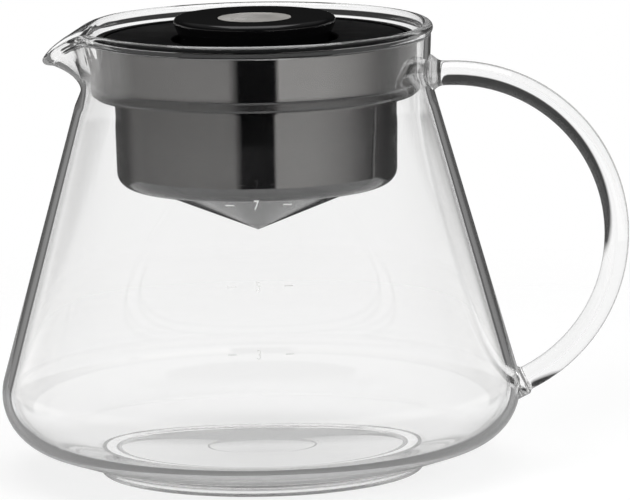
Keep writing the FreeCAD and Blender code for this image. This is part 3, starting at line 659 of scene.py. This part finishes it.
def woven_wire(name, radius=None):
    """Fine wire cloth: wires along Z and round the axis at a radius, or along X and Y on a flat floor."""
    material, tree, shader = new_material(name)
    feed(tree, shader.inputs["Metallic"], 1.0)
    feed(tree, shader.inputs["Roughness"], 0.34)
    x, y, z = add_place(tree, "Object")
    sides = (x, y)
    if radius:
        sides = (add_math(tree, "MULTIPLY", add_math(tree, "ARCTAN2", y, x), radius), z)
    turns = [add_math(tree, "MULTIPLY", side, math.pi / WIRE_PITCH) for side in sides]
    waves = [add_math(tree, "SINE", turn) for turn in turns]
    wires = add_math(tree, "MAXIMUM", *[add_math(tree, "ABSOLUTE", wave) for wave in waves])
    feed(tree, shader.inputs["Base Color"], add_ramp(tree, wires, ((0.45, 0.06), (0.8, 0.62))))
    add_bump(tree, shader, add_math(tree, "MULTIPLY", *waves), 0.5, 0.00012)
    return material


def dress(node, material):
    """Gives a carried-over CAD node its finish."""
    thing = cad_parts[node]
    thing.data.materials.clear()
    thing.data.materials.append(material)


# ---------------------------------------------------------------- stage

FLOOR_SIZE = 0.42
FLOOR_FADE = (0.24, 0.40)
FLOOR_GREY = 0.36
FLOOR_GLOW = 0.67
# painted shadow: the floor glows less under the middle of the object
FLOOR_SHADE = 0.20  # how much darker the floor is under the middle of the object
SHADE_REACH = 0.045
MIRRORED_FLOOR = (0.12, 0.16)  # how far behind the object its mirrored floor fades out

# The studio's levels. Along the height of a ray's direction, where 0 is down, 0.5 level and 1 up: what faces
# mirror, and what a ray finds that goes straight through glass.
MIRROR_LEVELS = ((0.0, 0.25), (0.40, 0.05), (0.5, 0.012), (0.7, 0.02), (0.85, 0.2))
THROUGH_LEVELS = ((0.460, 1.0), (0.495, 0.04))
HANDLE_LEAN = 0.14  # the dark above reaches lower on the handle's side
SPOUT_LEAN = 0.6  # and less low on the spout's side
# Along its lean to either side: what a ray finds that was turned inside a wall. Low rays find EDGE_LOW, and
# those that turn back to the front or up find the dark.
EDGE_LEVELS = (
    (0.05, 0.85), (0.10, 0.04), (0.24, 0.04), (0.32, 0.32),
    (0.42, 0.32), (0.45, 0.10), (0.475, 0.10), (0.495, 1.0),
)
EDGE_LOW = 0.2
EDGE_FRONT = 0.03
EDGE_HIGH = 0.02
# what a ray finds behind the glass that mirrored it: in the middle, to the sides and above
BEHIND_MIDDLE = 0.03
BEHIND_ASIDE = 0.5
BEHIND_HIGH = 0.93

CARD_DISTANCE = 1.0
CARD_HEIGHTS = (-0.42, -0.36, -0.02, 0.16, 0.26)
CARD_FADE = (0.0, 1.0, 1.0, 0.75, 0.0)
# azimuth from the camera's side towards +X in degrees, and how bright the cards are there
CARD_LEVELS = [
    (-165, 0.05), (-128, 0.2), (-113, 0.6), (-80, 0.85), (-45, 1.0), (-18, 1.0), (-11, 0.0),
    (13.5, 0.0), (16, 1.6), (45, 1.6), (70, 1.2), (100, 0.35), (128, 0.06), (165, 0.04),
]
# how bright they are at least for rays that have been through no glass, by azimuth to either side
BARE_LEVELS = [(95, 0.0), (110, 0.9), (132, 0.9), (143, 0.05), (180, 0.0)]


def ray_kinds(tree):
    """1 for rays of a kind: straight through glass, turned inside a wall, mirrored behind glass, mirrored."""
    path = tree.nodes.new("ShaderNodeLightPath")
    through = path.outputs["Is Transmission Ray"]
    turned = add_math(tree, "GREATER_THAN", path.outputs["Glossy Depth"], 0.5)
    unturned = add_math(tree, "SUBTRACT", 1.0, turned)
    one_wall = add_math(tree, "LESS_THAN", path.outputs["Transmission Depth"], 2.5)
    more_walls = add_math(tree, "SUBTRACT", 1.0, one_wall)
    turned_inside = add_math(tree, "MULTIPLY", through, add_math(tree, "MULTIPLY", turned, one_wall))
    behind_glass = add_math(tree, "MULTIPLY", through, add_math(tree, "MULTIPLY", turned, more_walls))
    gloss = add_math(tree, "SUBTRACT", path.outputs["Is Glossy Ray"], through)
    # a ray that the glass let go counts in part as one mirrored behind glass
    often_turned = add_math(tree, "GREATER_THAN", path.outputs["Glossy Depth"], CAUGHT)
    let_go = add_math(tree, "MULTIPLY", gloss, often_turned)
    return {
        "path": path,
        "straight": add_math(tree, "MULTIPLY", through, unturned),
        "turned_inside": turned_inside,
        "behind_glass": add_math(
            tree, "MAXIMUM", behind_glass, add_math(tree, "MULTIPLY", let_go, CAUGHT_SHARE)
        ),
        "mirrored": add_math(tree, "SUBTRACT", gloss, let_go),
    }


def studio_world():
    """White behind the object, dark surroundings for what it mirrors and for the edges of its glass."""
    world = bpy.data.worlds.new("studio")
    bpy.context.scene.world = world
    world.use_nodes = True
    tree = world.node_tree
    tree.nodes.clear()
    x, y, z = add_place(tree, "Generated")
    height = add_math(tree, "MULTIPLY_ADD", z, 0.5, 0.5)
    aside = add_math(tree, "ABSOLUTE", x)

    near_handle = add_math(tree, "MULTIPLY", add_math(tree, "MAXIMUM", x, 0.0), HANDLE_LEAN)
    near_spout = add_math(tree, "MULTIPLY", add_math(tree, "MINIMUM", x, 0.0), SPOUT_LEAN)
    leaning = add_math(tree, "ADD", height, add_math(tree, "ADD", near_handle, near_spout))
    through = add_ramp(tree, leaning, THROUGH_LEVELS)

    edge = add_ramp(tree, aside, EDGE_LEVELS)
    edge = add_mix(tree, add_range(tree, z, -0.2, -0.42), edge, EDGE_LOW)
    edge = add_mix(tree, add_range(tree, y, 0.25, 0.0), edge, EDGE_FRONT)
    edge = add_mix(tree, add_range(tree, z, 0.02, 0.08), edge, EDGE_HIGH)

    behind = add_mix(tree, add_range(tree, aside, 0.08, 0.16), BEHIND_MIDDLE, BEHIND_ASIDE)
    behind = add_mix(tree, add_range(tree, z, -0.06, 0.03), behind, BEHIND_HIGH)

    rays = ray_kinds(tree)
    level = add_mix(tree, rays["straight"], add_ramp(tree, height, MIRROR_LEVELS), through)
    level = add_mix(tree, rays["turned_inside"], level, edge)
    level = add_mix(tree, rays["behind_glass"], level, behind)
    level = add_mix(tree, rays["path"].outputs["Is Camera Ray"], level, 1.0)
    light = tree.nodes.new("ShaderNodeBackground")
    feed(tree, light.inputs["Color"], level)
    out = tree.nodes.new("ShaderNodeOutputWorld")
    feed(tree, out.inputs["Surface"], light.outputs[0])


def floor():
    """A pale round floor that fades into the white behind it, with a painted shadow under the middle of the
    object.
    """
    mesh = bpy.data.meshes.new("floor")
    work = bmesh.new()
    bmesh.ops.create_circle(work, cap_ends=True, radius=FLOOR_SIZE, segments=96)
    work.to_mesh(mesh)
    work.free()
    thing = link_object("floor", mesh)
    material, tree, shader = new_material("pale_floor")
    feed(tree, shader.inputs["Base Color"], FLOOR_GREY)
    feed(tree, shader.inputs["Roughness"], 0.9)
    feed(tree, shader.inputs["Specular IOR Level"], 0.0)
    feed(tree, shader.inputs["Emission Color"], 1.0)
    rays = ray_kinds(tree)
    seen = add_math(tree, "MAXIMUM", rays["path"].outputs["Is Camera Ray"], rays["straight"])
    shown = add_math(tree, "MAXIMUM", seen, rays["behind_glass"])
    place = tree.nodes.new("ShaderNodeTexCoord")
    reach = tree.nodes.new("ShaderNodeVectorMath")
    reach.operation = "LENGTH"
    feed(tree, reach.inputs[0], place.outputs["Object"])
    distance = reach.outputs["Value"]
    # the glow falls off towards the middle: a painted shadow under the object
    away = add_range(tree, distance, 0.0, SHADE_REACH)
    glow = add_math(tree, "MULTIPLY_ADD", away, FLOOR_SHADE, FLOOR_GLOW - FLOOR_SHADE)
    feed(tree, shader.inputs["Emission Strength"], add_math(tree, "MULTIPLY", shown, glow))
    x, y, z = add_place(tree, "Object")
    far = add_math(tree, "MULTIPLY", rays["behind_glass"], add_range(tree, y, *MIRRORED_FLOOR))
    rim = add_math(tree, "MULTIPLY", seen, add_range(tree, distance, *FLOOR_FADE))
    gone = add_math(tree, "MAXIMUM", rays["turned_inside"], far)
    gone = add_math(tree, "MAXIMUM", gone, rim)
    show(tree, add_blend(tree, gone, shader.outputs[0], add_clear(tree)))
    mesh.materials.append(material)


def cards():
    """Reflecting cards round the object, low down, as one strip of a cylinder that glows more or less."""
    azimuths = np.arange(-165.0, 165.1, 1.0)
    glow = np.interp(azimuths, *zip(*CARD_LEVELS))
    bare_glow = np.maximum(glow, np.interp(np.abs(azimuths), *zip(*BARE_LEVELS)))
    turns = np.radians(azimuths)
    points = [
        (CARD_DISTANCE * math.sin(turn), -CARD_DISTANCE * math.cos(turn), z)
        for z in CARD_HEIGHTS
        for turn in turns
    ]
    columns = len(azimuths)
    faces = [
        (i * columns + j, i * columns + j + 1, (i + 1) * columns + j + 1, (i + 1) * columns + j)
        for i in range(len(CARD_HEIGHTS) - 1)
        for j in range(columns - 1)
    ]
    mesh = bpy.data.meshes.new("cards")
    mesh.from_pydata(points, [], faces)
    for name, values in (("glow", glow), ("bare_glow", bare_glow)):
        level = mesh.attributes.new(name, "FLOAT", "POINT")
        level.data.foreach_set("value", np.outer(CARD_FADE, values).ravel())
    thing = link_object("cards", mesh)
    material, tree, shader = new_material("cards")
    tree.nodes.remove(shader)
    rays = ray_kinds(tree)
    no_glass = add_math(tree, "LESS_THAN", rays["path"].outputs["Transmission Depth"], 0.5)
    levels = []
    for name in ("glow", "bare_glow"):
        level = tree.nodes.new("ShaderNodeAttribute")
        level.attribute_name = name
        levels.append(level.outputs["Fac"])
    light = tree.nodes.new("ShaderNodeEmission")
    feed(tree, light.inputs["Color"], (1.0, 0.98, 0.96))
    feed(tree, light.inputs["Strength"], add_mix(tree, no_glass, *levels))
    mirrored = add_math(tree, "MAXIMUM", rays["mirrored"], rays["behind_glass"])
    show(tree, add_blend(tree, mirrored, add_clear(tree), light.outputs[0]))
    mesh.materials.append(material)
    thing.visible_camera = False
    thing.visible_diffuse = False
    thing.visible_shadow = False


# ---------------------------------------------------------------- lamps and camera

# name, azimuth from the camera's side towards +X, elevation, distance, size, radiance, seen in mirrors
LAMPS = [
    ("soft_box_top", 0, 90, 1.5, 1.4, 1.9, True),
    ("soft_box_left", -50, 30, 1.6, 1.0, 5.0, False),
    ("soft_box_right", 60, 25, 1.6, 1.0, 4.2, False),
]

PITCH = math.radians(9.067)
ROLL = math.radians(1.005)
CAMERA_DISTANCE = 2.3686
CAMERA_LENS = 474.9
SENSOR_WIDTH = 36.0
AIM = Vector((0.01603, 0, 0.0627))


def soft_light(name, azimuth, elevation, distance, size, radiance, mirrored):
    """A soft square lamp that faces the object."""
    lamp = bpy.data.lights.new(name, "AREA")
    lamp.shape = "SQUARE"
    lamp.size = size
    lamp.energy = radiance * math.pi * size * size
    thing = link_object(name, lamp)
    turn, rise = math.radians(azimuth), math.radians(elevation)
    way = Vector((math.sin(turn) * math.cos(rise), -math.cos(turn) * math.cos(rise), math.sin(rise)))
    thing.location = way * distance
    thing.rotation_euler = (math.radians(90) - rise, 0, turn)
    thing.visible_glossy = mirrored
    thing.visible_transmission = False


def camera():
    data = bpy.data.cameras.new("camera")
    data.sensor_width = SENSOR_WIDTH
    data.lens = CAMERA_LENS
    thing = link_object("camera", data)
    ahead = Vector((0, math.cos(PITCH), -math.sin(PITCH)))
    up = Vector((0, math.sin(PITCH), math.cos(PITCH)))
    right = Vector((1, 0, 0))
    rolled_right = right * math.cos(ROLL) - up * math.sin(ROLL)
    rolled_up = right * math.sin(ROLL) + up * math.cos(ROLL)
    axes = Matrix((rolled_right, rolled_up, -ahead)).transposed().to_4x4()
    thing.matrix_world = Matrix.Translation(AIM - ahead * CAMERA_DISTANCE) @ axes
    bpy.context.scene.camera = thing


# ---------------------------------------------------------------- putting it together

camera()
studio_world()
floor()
cards()
for lamp in LAMPS:
    soft_light(*lamp)

BLACK = (0.003, 0.003, 0.0032)
glass = clear_glass()
gloss = plastic("black_gloss", 0.05, 0.5, BLACK)
lacquer = plastic("black_lacquer", 0.05, 0.5, BLACK, ior=2.15)
satin = plastic("black_satin", 0.5, 0.05, BLACK, grain=0.03)
silicone = plastic("silicone", 0.2, 0.5, (0.012, 0.012, 0.012), ior=1.8)
# the knob cap's grey colour is a painted reflection of a lamp in the cap's dish
cap_painted_reflection = plastic("knob_inlay", 0.25, 0.5, (0.40, 0.387, 0.37))
ink = plastic("white_ink", 0.4, 0.4, (0.72, 0.72, 0.71))
stainless = steel("steel")
sleeve_wire = woven_wire("sleeve_wire", SLEEVE_RADIUS)
floor_wire = woven_wire("floor_wire")

glass_carafe().data.materials.append(glass)
scale_marks().data.materials.append(ink)

FINISHES = (
    (gloss, ("knob", "valve_stem", "drip_cone")),
    (lacquer, ("drip_housing",)),
    (satin, ("lid_plate", "filter_frame")),
    (silicone, ("neck_gasket", "cone_gasket", "lid_gasket", "valve_seal")),
    (sleeve_wire, ("filter_sleeve",)),
    (floor_wire, ("filter_floor",)),
    (
        stainless,
        ("knob_screw", "push_rod", "rod_clip", "knob_spring", "valve_spring", "spring_washer", "stem_clip"),
    ),
    # painted reflection: the grey finish on the knob cap
    (cap_painted_reflection, ("knob_cap",)),
)
for finish, nodes in FINISHES:
    for node in nodes:
        dress(node, finish)

bpy.context.scene.view_settings.view_transform = "Standard"
